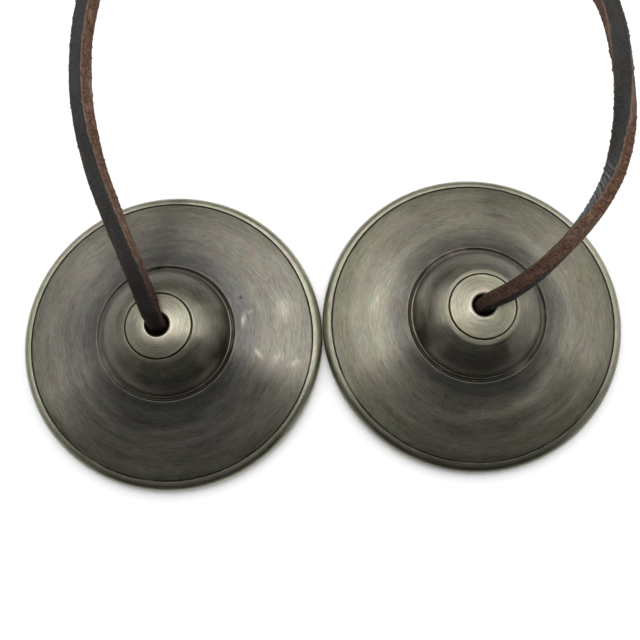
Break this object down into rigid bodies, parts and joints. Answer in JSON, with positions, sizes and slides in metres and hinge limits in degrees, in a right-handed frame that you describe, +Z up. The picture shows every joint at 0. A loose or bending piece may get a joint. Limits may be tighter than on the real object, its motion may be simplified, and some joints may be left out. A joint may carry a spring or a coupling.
{
  "type": "tingsha cymbals",
  "caption": "Pair of small domed bronze hand cymbals joined by a leather thong knotted inside each dome; struck rim to rim to ring in ritual and meditation.",
  "frame": {"origin": "on the table, midway between the two cymbals", "axes": "+X from the left cymbal's hole to the right cymbal's hole, +Y away from the viewer towards the thong's crown, +Z up out of the domes"},
  "size_m": [0.1303, 0.1402, 0.0393],
  "materials": {
    "bronze": "lathe-turned antique bronze, satin, worn bright round the hole",
    "leather": "dark dyed grain face with raw brown cut edges"
  },
  "bodies": {
    "left_cymbal": {"left_cymbal": "bronze"},
    "left_end": {"left_knot": "leather", "left_thong_end": "leather", "left_thong_bend": "leather"},
    "left_thong": {"left_thong": "leather", "thong_crown": "leather"},
    "right_thong": {"right_thong": "leather"},
    "right_end": {"right_thong_bend": "leather", "right_thong_end": "leather", "right_knot": "leather"},
    "right_cymbal": {"right_cymbal": "bronze"}
  },
  "joints": [
    {"name": "left_spin", "type": "hinge", "parent": "left_cymbal", "child": "left_end", "pos_m": [-0.03265, 0, 0.0165], "axis": [0, 0, 1], "continuous": true},
    {"name": "thong_lift", "type": "hinge", "parent": "left_end", "child": "left_thong", "pos_m": [-0.03265, 0, 0.0205], "axis": [1, 0, 0], "range_deg": [0, 90], "deforming": ["left_thong_bend"]},
    {"name": "crown_swing", "type": "hinge", "parent": "left_thong", "child": "right_thong", "pos_m": [0.0085, 0.106, 0.0016], "axis": [0, 0, 1], "range_deg": [0, 60], "deforming": ["thong_crown"]},
    {"name": "right_lift", "type": "hinge", "parent": "right_thong", "child": "right_end", "pos_m": [0.03265, 0, 0.0205], "axis": [1, 0, 0], "range_deg": [-90, 0], "deforming": ["right_thong_bend"]},
    {"name": "right_spin", "type": "hinge", "parent": "right_end", "child": "right_cymbal", "pos_m": [0.03265, 0, 0.0165], "axis": [0, 0, 1], "continuous": true}
  ],
  "couplings": [
    {"joint": "right_lift", "follows": "thong_lift", "ratio": -1}
  ]
}
